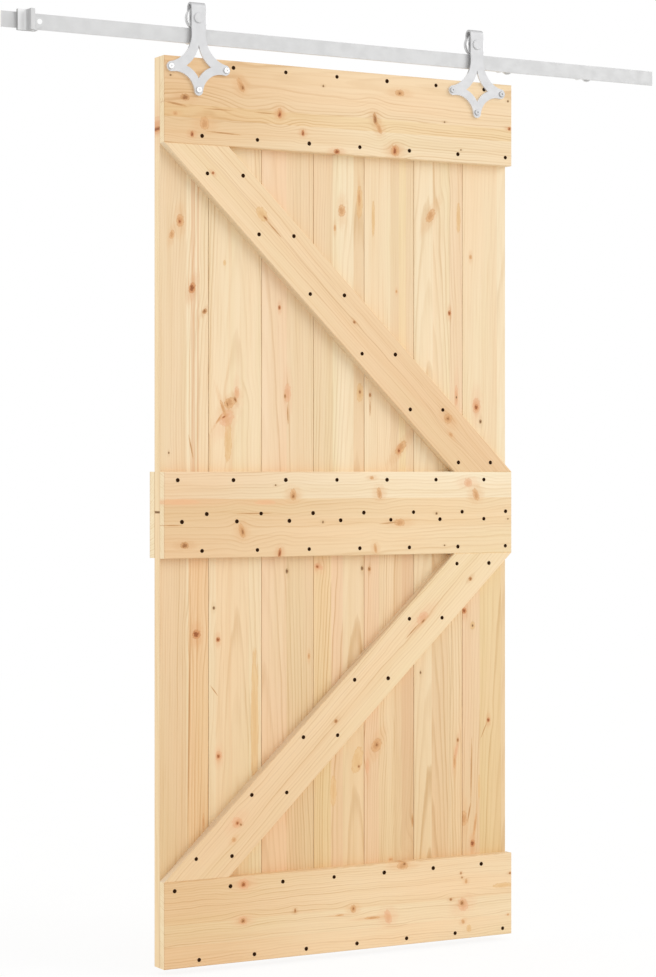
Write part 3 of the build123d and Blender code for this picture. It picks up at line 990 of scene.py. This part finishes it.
@dataclass(frozen=True)
class Planking:
    """The upright planks behind the boards, in two tiers, and the ledge on their back."""

    leaf: LeafFrame

    UPPER_STAVES = (
        (
            (0, Shade.PLAIN),
            (68, Shade.PALE),
            (80, Shade.WARM),
            (90, Shade.PALE),
            (95, Shade.WARM),
            (100, Shade.LIGHT),
        ),
        ((0, Shade.LIGHT),),
        ((0, Shade.PINK), (66, Shade.PLAIN)),
        ((0, Shade.PLAIN), (52, Shade.PALE), (109, Shade.PLAIN)),
        ((0, Shade.LIGHT), (72, Shade.PLAIN), (96, Shade.YELLOW), (116, Shade.PLAIN)),
        ((0, Shade.PALE), (53, Shade.LIGHT), (102, Shade.PINK)),
        ((0, Shade.LIGHT), (100, Shade.PALE)),
    )
    LOWER_STAVES = (
        ((0, Shade.PLAIN), (68, Shade.PALE), (73, Shade.AMBER)),
        ((0, Shade.PALE), (18, Shade.LIGHT), (105, Shade.PALE)),
        ((0, Shade.PINK), (66, Shade.PLAIN)),
        ((0, Shade.YELLOW), (48, Shade.PINK), (80, Shade.LIGHT)),
        ((0, Shade.PINK), (40, Shade.LIGHT), (82, Shade.PLAIN), (104, Shade.WARM)),
        ((0, Shade.PALE), (50, Shade.PLAIN), (98, Shade.LIGHT)),
        ((0, Shade.PINK), (50, Shade.YELLOW), (112, Shade.LIGHT)),
    )
    UPPER_KNOTS = (
        (
            Knot(1, 1942, 8, 40, Kind.PINK),
            Knot(1, 1934, 5, 12, Kind.RED),
            Knot(52, 1724, 20, 30, Kind.TAN),
            Knot(51, 1722, 8, 10, Kind.RED),
            Knot(31, 1691, 13, 22, Kind.TAN, 15),
            Knot(23, 1187, 5, 7, Kind.DARK),
            Knot(83, 1569, 17, 27, Kind.RED, 15),
            Knot(115, 1516, 11, 15, Kind.BROWN, 40),
            Knot(80, 1200, 4, 60, Kind.LINE, -12),
        ),
        (
            Knot(167, 1631, 8, 14, Kind.FLAME),
            Knot(176, 1214, 19, 100, Kind.FLAME),
            Knot(172, 1268, 34, 44, Kind.PINK, 35),
            Knot(199, 1328, 13, 30, Kind.PINK),
            Knot(180, 1304, 24, 30, Kind.TAN, 50),
            Knot(163, 1292, 9, 40, Kind.TAN, -20),
            Knot(195, 1312, 7, 15, Kind.BROWN, -25),
            Knot(174, 1301, 4, 14, Kind.BROWN, -15),
            Knot(152, 1266, 5, 28, Kind.TAN, 35),
            Knot(165, 1271, 5, 12, Kind.RED, 60),
        ),
        (
            Knot(312, 1531, 8, 12, Kind.RED),
            Knot(334, 1329, 18, 46, Kind.PINK),
            Knot(327, 1322, 6, 12, Kind.BROWN),
            Knot(334, 1278, 4, 50, Kind.LINE, -3),
        ),
        (
            Knot(530, 1790, 17, 80, Kind.FLAME),
            Knot(529, 1800, 7, 40, Kind.TAN),
            Knot(481, 1768, 20, 30, Kind.TAN),
            Knot(462, 1726, 7, 16, Kind.TAN),
            Knot(531, 1333, 18, 46, Kind.FLAME),
            Knot(531, 1335, 7, 11, Kind.BROWN),
        ),
        (
            Knot(568, 1752, 9, 88, Kind.FLAME),
            Knot(559, 1328, 7, 12, Kind.BROWN),
            Knot(559, 1297, 4, 44, Kind.LINE),
            Knot(633, 1580, 6, 8, Kind.TAN),
            Knot(645, 1201, 20, 42, Kind.TAN, 40),
            Knot(640, 1194, 9, 12, Kind.RED),
        ),
        (
            Knot(730, 1768, 20, 38, Kind.TAN, 30),
            Knot(810, 1766, 12, 75, Kind.FLAME),
            Knot(784, 1532, 10, 14, Kind.RED),
            Knot(804, 1330, 10, 52, Kind.PINK),
            Knot(804, 1326, 5, 8, Kind.DARK),
        ),
        (
            Knot(845, 1672, 9, 12, Kind.TAN),
            Knot(862, 1306, 24, 38, Kind.PINK),
            Knot(862, 1302, 13, 16, Kind.RED),
            Knot(874, 1267, 9, 12, Kind.DARK),
        ),
    )
    LOWER_KNOTS = (
        (
            Knot(75, 560, 5, 640, Kind.LINE, 0.8),
            Knot(94, 766, 22, 22, Kind.RED),
            Knot(112, 330, 6, 40, Kind.TAN),
        ),
        (
            Knot(139, 826, 8, 10, Kind.DARK),
            Knot(150, 752, 12, 13, Kind.RED),
            Knot(152, 481, 18, 22, Kind.PINK),
            Knot(151, 480, 10, 12, Kind.RED),
            Knot(246, 560, 20, 330, Kind.FLAME),
            Knot(140, 633, 3, 34, Kind.LINE, -38),
        ),
        (Knot(332, 908, 9, 14, Kind.DARK), Knot(391, 705, 7, 14, Kind.TAN)),
        (
            Knot(418, 917, 26, 14, Kind.PINK, 25),
            Knot(414, 917, 9, 8, Kind.RED, 25),
            Knot(458, 380, 17, 74, Kind.FLAME),
            Knot(537, 911, 9, 13, Kind.DARK),
            Knot(524, 450, 28, 66, Kind.FLAME, 12),
            Knot(528, 435, 7, 8, Kind.BROWN),
        ),
        (
            Knot(557, 909, 9, 12, Kind.BROWN),
            Knot(577, 483, 26, 36, Kind.TAN, 28),
            Knot(578, 484, 10, 12, Kind.BROWN, 28),
            Knot(552, 434, 10, 38, Kind.PINK),
            Knot(678, 295, 6, 36, Kind.LINE),
            Knot(660, 226, 26, 50, Kind.HIDDEN, 15),
            Knot(617, 205, 12, 6, Kind.TAN),
        ),
        (
            Knot(701, 654, 6, 10, Kind.DARK),
            Knot(808, 484, 7, 12, Kind.BROWN),
            Knot(803, 455, 9, 44, Kind.PINK, 12),
            Knot(799, 431, 8, 34, Kind.TAN),
        ),
        (
            Knot(827, 801, 13, 16, Kind.RED),
            Knot(851, 764, 14, 20, Kind.FLAME),
            Knot(851, 764, 6, 8, Kind.DARK),
            Knot(897, 529, 10, 13, Kind.RED),
            Knot(884, 505, 3, 50, Kind.LINE, 25),
            Knot(847, 405, 5, 170, Kind.LINE, 1),
            Knot(841, 305, 5, 60, Kind.LINE, 12),
            Knot(826, 290, 17, 38, Kind.TAN),
            Knot(858, 272, 7, 56, Kind.TAN, 8),
            Knot(851, 227, 14, 19, Kind.RED),
            Knot(870, 365, 7, 60, Kind.FLAME),
        ),
    )
    TIERS = (
        Tier(
            "upper",
            1,
            PALE,
            PALE,
            joint=0.9,
            line_share=0.6,
            staves=UPPER_STAVES,
            knots=UPPER_KNOTS,
        ),
        Tier(
            "lower",
            11,
            SHADED_START,
            SHADED_END,
            joint=-0.9,
            line_share=0.85,
            staves=LOWER_STAVES,
            knots=LOWER_KNOTS,
        ),
    )
    PITHS = ((0.9, 70), (0.0, 45), (-0.5, 80), (0.3, 60), (1.1, 75), (-0.2, 55), (0.6, 90))
    STREAKS = {
        0: (Streak(78, 3, RUST, 0.6), Streak(86, 5, RUST, 0.5), Streak(97, 3, RUST, 0.5)),
        1: (Streak(55, 14, tone(236, 196, 150), 0.4),),
        5: (Streak(102, 2, tone(196, 158, 116), 0.8),),
    }
    LEDGE = Pine(31, Grain.LEVEL, PALE, PALE, pith_side=0.8, arris=0.9)

    def build(self) -> None:
        """Dress every plank and the ledge."""
        for index, (side, depth) in enumerate(self.PITHS):
            for tier in self.TIERS:
                finish = Pine(
                    tier.first_seed + index,
                    Grain.UPRIGHT,
                    tier.start,
                    tier.end,
                    tier.staves[index],
                    tier.knots[index],
                    self.STREAKS.get(index, ()),
                    pith_side=side,
                    pith_depth=depth,
                    line_share=tier.line_share,
                    joint=tier.joint,
                    edge=PLANK_SIDE_LIGHT,
                )
                node = f"{tier.name}_plank_{index + 1}"
                dress(node, finish.material(node, self.leaf))
        dress("back_ledge", self.LEDGE.material("back_ledge", self.leaf))


@dataclass(frozen=True)
class FrontBoards:
    """The three level boards and the two slanted braces on the planks' front."""

    leaf: LeafFrame

    HEADER = Pine(
        21,
        Grain.LEVEL,
        tone(237, 204, 160),
        tone(248, 225, 188),
        ((0, Shade.PALE), (60, Shade.YELLOW), (90, Shade.LIGHT)),
        (
            Knot(53, 2007, 24, 16, Kind.BROWN),
            Knot(76, 1976, 54, 30, Kind.HIDDEN),
            Knot(16, 2055, 7, 6, Kind.DARK),
            Knot(28, 1968, 12, 10, Kind.TAN),
            Knot(197, 2045, 15, 36, Kind.TAN, -25),
            Knot(202, 2040, 9, 14, Kind.BROWN, -20),
            Knot(300, 1987, 13, 26, Kind.TAN),
            Knot(300, 1984, 10, 17, Kind.RED, 12),
            Knot(103, 1950, 24, 30, Kind.TAN),
            Knot(71, 1923, 10, 15, Kind.RED),
            Knot(362, 1944, 9, 16, Kind.RED),
            Knot(417, 2059, 6, 7, Kind.DARK),
            Knot(454, 1906, 18, 13, Kind.RED),
            Knot(628, 2058, 26, 16, Kind.TAN),
            Knot(628, 2057, 9, 8, Kind.BROWN),
            Knot(559, 1991, 12, 30, Kind.BROWN, -10),
            Knot(570, 1969, 12, 30, Kind.TAN, -25),
            Knot(615, 1918, 24, 28, Kind.TAN),
            Knot(614, 1918, 12, 22, Kind.RED),
            Knot(802, 1931, 6, 5, Kind.DARK),
            Knot(755, 1996, 6, 5, Kind.DARK),
            Knot(939, 2060, 7, 7, Kind.DARK),
            Knot(943, 1992, 10, 10, Kind.RED),
            Knot(155, 1930, 96, 4, Kind.LINE, 2),
            Knot(262, 1984, 60, 3, Kind.LINE),
            Knot(140, 1984, 80, 3, Kind.LINE),
            Knot(30, 1990, 62, 6, Kind.LINE, 8),
        ),
        pith_side=0.35,
        pith_depth=45,
        line_share=0.8,
        ripple=3.0,
        settles=0.1,
    )
    MIDDLE = Pine(
        22,
        Grain.LEVEL,
        tone(242, 215, 178),
        tone(252, 234, 201),
        ((0, Shade.HONEY), (136, Shade.PALE)),
        (
            Knot(336, 1090, 17, 28, Kind.TAN),
            Knot(336, 1086, 10, 12, Kind.BROWN),
            Knot(289, 1112, 6, 5, Kind.DARK),
            Knot(200, 1006, 15, 36, Kind.TAN, -15),
            Knot(202, 1004, 8, 18, Kind.BROWN, -15),
            Knot(52, 974, 22, 16, Kind.BROWN),
            Knot(300, 953, 10, 24, Kind.RED, 8),
            Knot(416, 1024, 6, 8, Kind.DARK),
            Knot(571, 1092, 14, 28, Kind.TAN, -12),
            Knot(550, 1129, 12, 9, Kind.TAN),
            Knot(823, 1117, 24, 22, Kind.PINK),
            Knot(845, 1088, 17, 32, Kind.TAN, -20),
            Knot(732, 1042, 8, 8, Kind.DARK),
            Knot(628, 1021, 30, 18, Kind.TAN),
            Knot(560, 960, 9, 24, Kind.TAN, -10),
            Knot(939, 1027, 6, 5, Kind.DARK),
            Knot(755, 964, 6, 5, Kind.DARK),
            Knot(40, 1074, 110, 14, Kind.WASH),
            Knot(262, 1072, 60, 12, Kind.WASH),
            Knot(230, 1046, 110, 3, Kind.LINE),
            Knot(20, 1020, 60, 3, Kind.LINE),
            Knot(600, 1020, 60, 3, Kind.LINE, -4),
        ),
        ring_width=7.0,
        pith_side=-0.6,
        pith_depth=50,
        drift=0.025,
        line_share=0.6,
        ripple=4.0,
        settles=0.3,
    )
    FOOTER = Pine(
        23,
        Grain.LEVEL,
        tone(235, 202, 158),
        tone(246, 223, 185),
        ((0, Shade.LIGHT), (50, Shade.PALE), (100, Shade.LIGHT)),
        (
            Knot(205, 182, 27, 26, Kind.PINK),
            Knot(204, 181, 14, 14, Kind.RED),
            Knot(203, 97, 23, 21, Kind.PINK),
            Knot(203, 96, 13, 12, Kind.BROWN),
            Knot(341, 108, 6, 12, Kind.BROWN),
            Knot(499, 99, 15, 20, Kind.TAN),
            Knot(499, 100, 7, 9, Kind.BROWN),
            Knot(595, 72, 20, 36, Kind.PINK, -15),
            Knot(552, 73, 44, 7, Kind.TAN),
            Knot(462, 87, 24, 4, Kind.TAN),
            Knot(636, 192, 32, 18, Kind.TAN),
            Knot(641, 196, 11, 9, Kind.BROWN),
            Knot(802, 161, 5, 8, Kind.BROWN),
            Knot(805, 150, 5, 6, Kind.BROWN),
            Knot(817, 140, 8, 12, Kind.TAN),
            Knot(808, 84, 28, 34, Kind.PINK, -20),
            Knot(805, 88, 12, 13, Kind.BROWN),
            Knot(773, 99, 9, 8, Kind.BROWN),
            Knot(808, 42, 9, 12, Kind.TAN, -30),
            Knot(825, 24, 14, 18, Kind.FLAME),
            Knot(925, 122, 60, 12, Kind.FLAME),
            Knot(939, 48, 6, 6, Kind.TAN),
            Knot(945, 150, 8, 7, Kind.BROWN),
        ),
        ring_width=5.0,
        pith_side=-0.8,
        pith_depth=60,
        drift=0.012,
        line_share=0.8,
        wander=12.0,
        ripple=5.0,
        settles=0.1,
    )
    UPPER = Pine(
        24,
        Grain.FALLING,
        tone(249, 225, 187),
        tone(241, 209, 167),
        ((0, Shade.LIGHT), (86, Shade.LIGHT)),
        (
            Knot(125, 1836, 8, 8, Kind.RED),
            Knot(253, 1747, 38, 24, Kind.FLAME, 10),
            Knot(262, 1738, 16, 6, Kind.BROWN),
            Knot(285, 1713, 60, 4, Kind.LINE),
            Knot(502, 1501, 10, 8, Kind.BROWN),
            Knot(765, 1273, 24, 24, Kind.TAN),
            Knot(765, 1273, 10, 9, Kind.BROWN),
            Knot(773, 1234, 14, 9, Kind.TAN),
        ),
        (Streak(62, 3, BRACE_STREAK, 0.5), Streak(80, 2, BRACE_STREAK, 0.35)),
        pith_side=0.9,
        pith_depth=50,
        drift=0.015,
        line_share=0.7,
        ripple=3.0,
        arris=0.0,
        # Painted shade: a greyer tone on the brace's slanted sides, set for the shade they lie in.
        edge=tone(234, 218, 189),
    )
    LOWER = Pine(
        25,
        Grain.RISING,
        tone(241, 212, 172),
        tone(250, 228, 190),
        ((0, Shade.LIGHT),),
        (
            Knot(187, 327, 26, 26, Kind.PINK),
            Knot(188, 325, 10, 9, Kind.RED),
            Knot(197, 321, 6, 8, Kind.BROWN),
            Knot(179, 287, 12, 12, Kind.TAN),
            Knot(451, 550, 11, 10, Kind.BROWN),
            Knot(829, 881, 11, 11, Kind.BROWN),
            Knot(692, 790, 38, 22, Kind.PINK),
            Knot(694, 781, 16, 5, Kind.BROWN),
            Knot(664, 758, 56, 4, Kind.LINE),
        ),
        (Streak(88, 3, BRACE_STREAK, 0.4),),
        pith_side=-0.9,
        pith_depth=60,
        drift=0.015,
        line_share=0.75,
        ripple=4.0,
        arris=0.0,
        # Painted shade: a greyer tone on the brace's slanted sides, set for the shade they lie in.
        edge=tone(243, 225, 199),
    )

    def build(self) -> None:
        """Dress the five boards."""
        for node, finish in (
            ("header_board", self.HEADER),
            ("middle_board", self.MIDDLE),
            ("footer_board", self.FOOTER),
            ("upper_brace", self.UPPER),
            ("lower_brace", self.LOWER),
        ):
            dress(node, finish.material(node, self.leaf))


@dataclass(frozen=True)
class NailRow:
    """Nails at one height, in millimetres from the door's lower left corner."""

    height: float
    first: float
    start: float
    pitch: float
    count: int

    def places(self) -> list[tuple[float, float]]:
        """Across and up of each nail."""
        run = [self.start + self.pitch * step for step in range(self.count)]
        return [(across, self.height) for across in (self.first, *run)]


@dataclass(frozen=True)
class Nailing:
    """The black nail heads on the boards and braces."""

    leaf: LeafFrame
    head_radius: float = 4.8
    head_height: float = 0.6
    rim_share: float = 0.9
    sides: int = 16
    size_spread: float = 0.06
    seed: int = 7

    LEAST, MOST, RANDOM_FLOAT = 2, 3, 1
    BLACK = MattStuff(
        "nail_black",
        tone(38, 20, 6),
        tone(54, 32, 14),
        roughness=0.8,
        speckle_scale=900.0,
        relief=0.00004,
        shine=0.04,
    )
    ROWS = (
        NailRow(2083.6, 34.3, 178.0, 138.1, 6),
        NailRow(1920.0, 96.6, 240.8, 138.1, 6),
        NailRow(1124.0, 34.3, 178.0, 138.1, 6),
        NailRow(1045.5, 108.6, 250.6, 138.7, 5),
        NailRow(1027.7, 45.0, 186.9, 138.7, 5),
        NailRow(960.3, 96.6, 240.8, 138.1, 6),
        NailRow(179.1, 26.5, 170.2, 138.1, 6),
        NailRow(15.3, 89.1, 232.9, 138.1, 6),
    )
    LONE = ((932.1, 1045.5), (868.4, 1027.7))
    UPPER_PAIRS = (
        (110.4, 203.2, 1834),
        (245.1, 337.7, 1699),
        (381.7, 474.6, 1564),
        (523.1, 615.7, 1426),
        (657.5, 750.0, 1294),
        (794.8, 887.6, 1166),
    )
    LOWER_PAIRS = (
        (790.5, 883.1, 918.5),
        (655.1, 747.7, 787.5),
        (502.6, 595.5, 646.0),
        (363.3, 456.0, 516.0),
        (226.0, 318.6, 388.0),
        (81.6, 174.1, 249.0),
    )

    def build(self) -> None:
        """Make every head as one piece on the leaf."""
        places = [place for row in self.ROWS for place in row.places()]
        places += list(self.LONE)
        for left, right, height in self.UPPER_PAIRS + self.LOWER_PAIRS:
            places += [(left, height), (right, height)]
        cloud = bpy.data.meshes.new("nail_places")
        cloud.from_pydata([self.leaf.place(*place) for place in places], [], [])
        piece = bpy.data.objects.new("nail_heads", cloud)
        bpy.context.scene.collection.objects.link(piece)
        self._instance(piece, self.BLACK.material())
        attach(piece, "leaf")
        LOG.info("nail_heads: %d heads", len(places))

    def _instance(self, piece: bpy.types.Object, black: bpy.types.Material) -> None:
        """Put a head on every point and turn the result into a plain mesh.

        Args:
            piece: The object with one point for each nail.
            black: The heads' finish.
        """
        tree, names = self._tree()
        modifier = piece.modifiers.new("heads", "NODES")
        modifier.node_group = tree
        values = {
            "Head Radius": self.head_radius * MM,
            "Head Height": self.head_height * MM,
            "Sides": self.sides,
            "Size Spread": self.size_spread,
            "Finish": black,
        }
        for name, value in values.items():
            modifier[names[name]] = value
        piece.update_tag()
        evaluated = piece.evaluated_get(bpy.context.evaluated_depsgraph_get())
        mesh = bpy.data.meshes.new_from_object(evaluated)
        piece.modifiers.clear()
        piece.data = mesh
        mesh.name = "nail_heads"

    def _tree(self) -> tuple[bpy.types.GeometryNodeTree, dict[str, str]]:
        """The Geometry Nodes tree of the heads.

        Returns:
            The tree, and the identifier of each named input.
        """
        tree = bpy.data.node_groups.new("nail_head_on_each_point", "GeometryNodeTree")
        tree.interface.new_socket("Geometry", in_out="OUTPUT", socket_type="NodeSocketGeometry")
        names = {}
        for name, kind in (
            ("Geometry", "Geometry"),
            ("Head Radius", "Float"),
            ("Head Height", "Float"),
            ("Sides", "Int"),
            ("Size Spread", "Float"),
            ("Finish", "Material"),
        ):
            kind = f"NodeSocket{kind}"
            socket = tree.interface.new_socket(name, in_out="INPUT", socket_type=kind)
            names[name] = socket.identifier
        graph = NodeGraph(tree)
        given = graph.node("NodeGroupInput").outputs
        radius, spread = given["Head Radius"], given["Size Spread"]

        factors = {0: radius, 1: self.rim_share}
        rim = graph.node("ShaderNodeMath", {"operation": "MULTIPLY"}, factors)
        sizes = {"Vertices": given["Sides"], "Radius Top": rim.outputs[0], "Radius Bottom": radius}
        sizes["Depth"] = given["Head Height"]
        head = graph.node("GeometryNodeMeshCone", {"fill_type": "NGON"}, sizes)
        least = graph.node("ShaderNodeMath", {"operation": "SUBTRACT"}, {0: 1.0, 1: spread})
        most = graph.node("ShaderNodeMath", {"operation": "ADD"}, {0: 1.0, 1: spread})
        between = {"Seed": self.seed, self.LEAST: least.outputs[0], self.MOST: most.outputs[0]}
        size = graph.node("FunctionNodeRandomValue", {"data_type": "FLOAT"}, between)
        heads = {
            "Points": given["Geometry"],
            "Instance": head.outputs["Mesh"],
            "Rotation": (math.pi / 2, 0.0, 0.0),
            "Scale": size.outputs[self.RANDOM_FLOAT],
        }
        spread_out = graph.node("GeometryNodeInstanceOnPoints", None, heads)
        real = graph.node("GeometryNodeRealizeInstances", None, {0: spread_out.outputs[0]})
        finish = {"Geometry": real.outputs[0], "Material": given["Finish"]}
        dressed = graph.node("GeometryNodeSetMaterial", None, finish)
        graph.node("NodeGroupOutput", None, {0: dressed.outputs[0]})
        return tree, names


# Track and hangers


@dataclass(frozen=True)
class Track:
    """The rail on its spacers, with its bolts and the end stop."""

    spacers: int = 4
    highlight_until: float = -0.3
    lug_left: float = -0.4395

    def build(self) -> None:
        """Dress the rail, the spacers, the bolts, the stop and its buffer."""
        # Painted light: a near white tone on the rail's edges and underside.
        zinc = ZincSteel("rail_zinc", tone(209, 209, 209), tone(240, 240, 240)).material()
        dress("rail", zinc)
        for number in range(self.spacers):
            dress(f"rail_spacer_{number + 1}", zinc)
        # Painted light on the pad left of the lug, where the lug shades it; painted shade on the
        # stop's edges.
        pad_painted_light = Parting(0, self.lug_left, tone(241, 241, 241), False, -1)
        stop = ZincSteel("stop_zinc", tone(211, 211, 211), tone(184, 184, 184), partings=(pad_painted_light,))
        dress("end_stop", stop.material())
        # Painted highlight: the rail bolts to the left take a near white tone; past this plane they
        # take plainer tones.
        plain_face_past_highlight = Parting(0, self.highlight_until, tone(207, 207, 207), False)
        plain_edge_past_highlight = Parting(0, self.highlight_until, tone(196, 196, 196), True)
        past_highlight = (plain_face_past_highlight, plain_edge_past_highlight)
        bolts = ZincSteel("rail_bolt_zinc", tone(244, 244, 244), tone(240, 240, 240), partings=past_highlight)
        dress("rail_bolts", bolts.material())
        rubber = MattStuff(
            "buffer_rubber",
            tone(196, 197, 198),
            tone(210, 211, 212),
            roughness=0.7,
            speckle_scale=500.0,
            relief=0.00005,
        )
        dress("end_stop_buffer", rubber.material())


@dataclass(frozen=True)
class Hangers:
    """The two star hangers with their screws, axles and grooved wheels."""

    star_top: float = -0.03

    def build(self) -> None:
        """Dress both hangers and wheels."""
        # Painted shade on the hanger plates' edges, and painted light on the star's edges below its
        # top.
        plain, plate_edge_shade, foot = tone(213, 213, 214), tone(186, 186, 187), tone(236, 236, 237)
        turned, wheel_rim_shade = tone(238, 238, 238), tone(176, 176, 177)
        star_edge_painted_light = Parting(2, self.star_top, foot, True, -1)
        plate = ZincSteel("hanger_zinc", plain, plate_edge_shade, partings=(star_edge_painted_light,)).material()
        # Painted shade on the wheel's rim; its front faces take a near white tone.
        wheel = ZincSteel("wheel_zinc", turned, wheel_rim_shade, metallic=0.6, roughness=0.3).material()
        # Painted light: the axle's edges take nearly the face tone, so shade round the bolt head
        # hardly shows.
        axle = ZincSteel("axle_zinc", plain, tone(212, 212, 213)).material()
        # Painted highlight: the left screws take a near white, shinier finish, the right ones a
        # plainer one.
        for side, face, edge, metallic, roughness in (
            ("left", tone(242, 242, 242), tone(216, 216, 217), 0.6, 0.3),
            ("right", tone(208, 208, 209), tone(196, 196, 197), 0.35, 0.58),
        ):
            screws = ZincSteel(f"{side}_screw_zinc", face, edge, metallic, roughness).material()
            dress(f"{side}_hanger", plate)
            dress(f"{side}_wheel", wheel)
            dress(f"{side}_hanger_screws", screws)
            dress(f"{side}_axle_bolt", axle)
            dress(f"{side}_axle_nut", axle)


# Studio


@dataclass(frozen=True)
class Studio:
    """The camera, the soft light and the pale floor."""

    camera_place: tuple[float, float, float] = (-2.5898, -5.3353, -1.0040)
    camera_direction: tuple[float, float, float] = (0.4859, 0.8740, 0.0)
    lens: float = 93.17
    shift_up: float = -0.0183
    floor_height: float = -2.165
    floor_side: float = 16.0
    ambient: float = 0.78
    key_strength: float = 1.0
    key_direction: tuple[float, float, float] = (-0.7, 0.6, -0.38)
    key_softness: float = 40.0
    side_strength: float = 0.5
    side_direction: tuple[float, float, float] = (1.0, -0.22, -0.15)
    side_softness: float = 16.0
    view_depth: float = 60.0
    floor_patches: float = 8.0
    floor_glow: float = 1.03
    floor_glow_share: float = 0.85

    def build(self) -> None:
        """Make the camera, the lamps, the world and the floor."""
        self._camera()
        self._lamp("key", self.key_strength, self.key_direction, self.key_softness)
        self._lamp("side", self.side_strength, self.side_direction, self.side_softness)
        self._world()
        self._floor()
        bpy.context.scene.view_settings.view_transform = "Standard"

    def _camera(self) -> None:
        """Stand the camera where the photograph was taken from."""
        camera = bpy.data.objects.new("camera", bpy.data.cameras.new("camera"))
        bpy.context.scene.collection.objects.link(camera)
        camera.location = self.camera_place
        camera.rotation_euler = Vector(self.camera_direction).to_track_quat("-Z", "Y").to_euler()
        camera.data.lens = self.lens
        camera.data.shift_y = self.shift_up
        camera.data.clip_end = self.view_depth
        bpy.context.scene.camera = camera

    @staticmethod
    def _lamp(
        name: str, strength: float, direction: tuple[float, float, float], softness: float
    ) -> None:
        """Add one soft far lamp.

        Args:
            name: The lamp's name.
            strength: Its light on a surface square to it.
            direction: The way it shines.
            softness: Its width in degrees as the object sees it.
        """
        light = bpy.data.lights.new(name, "SUN")
        light.energy = strength
        light.angle = math.radians(softness)
        lamp = bpy.data.objects.new(name, light)
        lamp.rotation_euler = Vector(direction).to_track_quat("-Z", "Y").to_euler()
        bpy.context.scene.collection.objects.link(lamp)

    def _world(self) -> None:
        """White behind the object and in what it mirrors, softer where it lights."""
        world = bpy.data.worlds.new("studio")
        bpy.context.scene.world = world
        graph = ShaderGraph(world)
        strength = graph.smooth(self._seen(graph), 0.0, 1.0, self.ambient, 1.0)
        white = {"Color": (1, 1, 1, 1), "Strength": strength}
        sky = graph.node("ShaderNodeBackground", None, white)
        graph.node("ShaderNodeOutputWorld", None, {"Surface": sky.outputs[0]})

    @staticmethod
    def _seen(graph: ShaderGraph) -> Field:
        """1 for what the camera sees, also mirrored or seen through, and 0 for what only lights.

        Args:
            graph: The shader.

        Returns:
            The mask.
        """
        rays = graph.node("ShaderNodeLightPath").outputs
        camera, mirrored, through = (
            Field(graph, rays[f"Is {kind} Ray"]) for kind in ("Camera", "Glossy", "Transmission")
        )
        return camera.math("MAXIMUM", mirrored).math("MAXIMUM", through)

    def _floor(self) -> None:
        """Lay the pale floor below the door."""
        half = self.floor_side / 2
        corners = [(-half, -half), (half, -half), (half, half), (-half, half)]
        mesh = bpy.data.meshes.new("floor")
        mesh.from_pydata([(x, y, self.floor_height) for x, y in corners], [], [(0, 1, 2, 3)])
        floor = bpy.data.objects.new("floor", mesh)
        bpy.context.scene.collection.objects.link(floor)
        graph = ShaderGraph(bpy.data.materials.new("pale_floor"))
        speckle = graph.noise(graph.place(), self.floor_patches)
        paint = graph.mix(speckle, tone(240, 240, 238), tone(248, 248, 247))
        matt = graph.node("ShaderNodeBsdfDiffuse", None, {"Color": paint})
        white = {"Color": (1, 1, 1, 1), "Strength": self.floor_glow}
        glow = graph.node("ShaderNodeEmission", None, white)
        share = self._seen(graph) * self.floor_glow_share
        parts = {0: share, 1: matt.outputs[0], 2: glow.outputs[0]}
        both = graph.node("ShaderNodeMixShader", None, parts)
        graph.node("ShaderNodeOutputMaterial", None, {"Surface": both.outputs[0]})
        mesh.materials.append(graph.owner)


def main() -> None:
    """Dress the door, the track and the hangers, and set up the studio."""
    logging.basicConfig(level=logging.INFO, format="%(name)s: %(message)s")
    leaf = LeafFrame.of_boards()
    for part in (Planking(leaf), FrontBoards(leaf), Nailing(leaf), Track(), Hangers(), Studio()):
        LOG.info("building %s", type(part).__name__)
        part.build()


if __name__ == "__main__":
    main()
